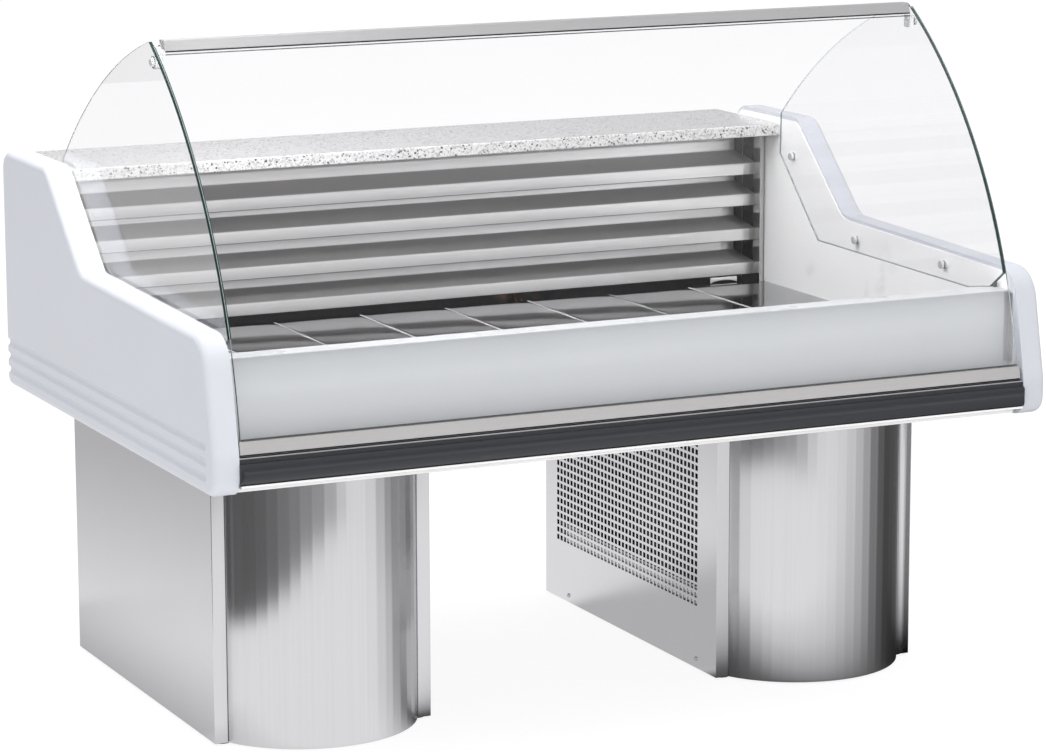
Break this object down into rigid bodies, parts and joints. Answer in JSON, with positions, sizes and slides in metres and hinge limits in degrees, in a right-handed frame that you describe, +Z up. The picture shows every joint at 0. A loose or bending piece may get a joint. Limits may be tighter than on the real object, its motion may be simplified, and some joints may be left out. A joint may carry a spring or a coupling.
{
  "type": "refrigerated fish counter",
  "caption": "Free-standing refrigerated fish counter with tilting curved glass, lift-out deck plates, granite worktop and steel pedestals.",
  "frame": {"origin": "on the floor, in the middle of the overall length and depth", "axes": "+Z up, +X along the counter to the customer's right, -Y towards the customer"},
  "size_m": [1.592, 1.182, 1.214],
  "materials": {
    "wall_moulding": "satin moulded plastic",
    "white_liner": "satin",
    "clear_glass": "polished, green edge",
    "stud_chrome": "polished",
    "profile_steel": "brushed along the length",
    "pin_steel": "turned",
    "grey_panel": "satin paint",
    "white_sill": "satin",
    "bare_aluminium": "satin extrusion",
    "charcoal_bumper": "satin extrusion",
    "deck_steel": "polished",
    "foam": "rigid foam",
    "casing_steel": "satin brushed",
    "granite": "polished, speckled",
    "louvre_steel": "brushed along the length",
    "fin_aluminium": "rolled",
    "copper": "drawn copper tube",
    "deck_frame_steel": "satin",
    "drain_plastic": "moulded",
    "curved_steel": "brushed upright",
    "frame_paint": "satin paint",
    "foot_plastic": "moulded",
    "compressor_paint": "gloss paint",
    "coil_black": "satin paint",
    "motor_paint": "satin paint",
    "fan_aluminium": "rolled",
    "panel_plastic": "fine texture",
    "display_gloss": "polished",
    "button_plastic": "moulded",
    "rocker_plastic": "gloss",
    "gland_plastic": "moulded"
  },
  "bodies": {
    "cabinet": {"bumper": "charcoal_bumper", "bumper_carrier": "bare_aluminium", "cable_gland": "gland_plastic", "compressor": "compressor_paint", "condenser_coil": "coil_black", "control_panel": "panel_plastic", "deck_frame": "deck_frame_steel", "drain_outlet": "drain_plastic", "end_wall_left": "wall_moulding", "end_wall_right": "wall_moulding", "evaporator_fins": "fin_aluminium", "evaporator_tubes": "copper", "fan_motor": "motor_paint", "fan_shroud": "coil_black", "front_panel": "grey_panel", "front_sill": "white_sill", "glass_corner_clips": "stud_chrome", "granite_worktop": "granite", "inner_liner_left": "white_liner", "inner_liner_right": "white_liner", "levelling_feet": "foot_plastic", "louvre_post_left": "louvre_steel", "louvre_post_right": "louvre_steel", "louvre_slat_1": "louvre_steel", "louvre_slat_2": "louvre_steel", "louvre_slat_3": "louvre_steel", "louvre_slat_4": "louvre_steel", "panel_screws": "pin_steel", "pedestal_left_casing": "casing_steel", "pedestal_left_frame": "frame_paint", "pedestal_left_front": "curved_steel", "pedestal_right_casing": "casing_steel", "pedestal_right_frame": "frame_paint", "pedestal_right_front": "curved_steel", "pedestal_right_grille": "casing_steel", "rear_casing": "casing_steel", "refrigerant_pipes": "copper", "side_glass_left": "clear_glass", "side_glass_right": "clear_glass", "side_glass_studs": "stud_chrome", "thermostat_display": "display_gloss", "tub": "deck_steel", "tub_insulation": "foam"},
    "front_glass_assembly": {"front_glass": "clear_glass", "glass_top_bar": "profile_steel", "glass_bottom_profile": "profile_steel", "glass_hinge_pins": "pin_steel"},
    "condenser_fan": {"condenser_fan": "fan_aluminium"},
    "button_up": {"button_up": "button_plastic"},
    "button_down": {"button_down": "button_plastic"},
    "power_rocker": {"power_rocker": "rocker_plastic"},
    "deck_end_strip": {"deck_end_strip": "deck_steel"},
    "deck_pan_1": {"deck_pan_1": "deck_steel"},
    "deck_pan_2": {"deck_pan_2": "deck_steel"},
    "deck_pan_3": {"deck_pan_3": "deck_steel"},
    "deck_pan_4": {"deck_pan_4": "deck_steel"},
    "deck_pan_5": {"deck_pan_5": "deck_steel"},
    "deck_pan_6": {"deck_pan_6": "deck_steel"},
    "deck_pan_7": {"deck_pan_7": "deck_steel"},
    "deck_pan_8": {"deck_pan_8": "deck_steel"}
  },
  "joints": [
    {"name": "front_glass_tilt", "type": "hinge", "parent": "cabinet", "child": "front_glass_assembly", "pos_m": [0, -0.567, 0.5845], "axis": [1, 0, 0], "range_deg": [0, 50]},
    {"name": "deck_pan_1_lift", "type": "slide", "parent": "cabinet", "child": "deck_pan_1", "axis": [0, 0, 1], "range_m": [0, 0.08]},
    {"name": "deck_pan_2_lift", "type": "slide", "parent": "cabinet", "child": "deck_pan_2", "axis": [0, 0, 1], "range_m": [0, 0.08]},
    {"name": "deck_pan_3_lift", "type": "slide", "parent": "cabinet", "child": "deck_pan_3", "axis": [0, 0, 1], "range_m": [0, 0.08]},
    {"name": "deck_pan_4_lift", "type": "slide", "parent": "cabinet", "child": "deck_pan_4", "axis": [0, 0, 1], "range_m": [0, 0.08]},
    {"name": "deck_pan_5_lift", "type": "slide", "parent": "cabinet", "child": "deck_pan_5", "axis": [0, 0, 1], "range_m": [0, 0.08]},
    {"name": "deck_pan_6_lift", "type": "slide", "parent": "cabinet", "child": "deck_pan_6", "axis": [0, 0, 1], "range_m": [0, 0.08]},
    {"name": "deck_pan_7_lift", "type": "slide", "parent": "cabinet", "child": "deck_pan_7", "axis": [0, 0, 1], "range_m": [0, 0.08]},
    {"name": "deck_pan_8_lift", "type": "slide", "parent": "cabinet", "child": "deck_pan_8", "axis": [0, 0, 1], "range_m": [0, 0.08]},
    {"name": "deck_end_strip_lift", "type": "slide", "parent": "cabinet", "child": "deck_end_strip", "axis": [0, 0, 1], "range_m": [0, 0.08]},
    {"name": "condenser_fan_spin", "type": "hinge", "parent": "cabinet", "child": "condenser_fan", "pos_m": [0.36, -0.081, 0.25], "axis": [1, 0, 0], "continuous": true},
    {"name": "button_up_press", "type": "slide", "parent": "cabinet", "child": "button_up", "axis": [0, -1, 0], "range_m": [0, 0.0012], "stiffness_N_per_m": 600},
    {"name": "button_down_press", "type": "slide", "parent": "cabinet", "child": "button_down", "axis": [0, -1, 0], "range_m": [0, 0.0012], "stiffness_N_per_m": 600},
    {"name": "power_rocker_tip", "type": "hinge", "parent": "cabinet", "child": "power_rocker", "pos_m": [0.488, 0.512, 0.76], "axis": [1, 0, 0], "range_deg": [0, 18]}
  ]
}
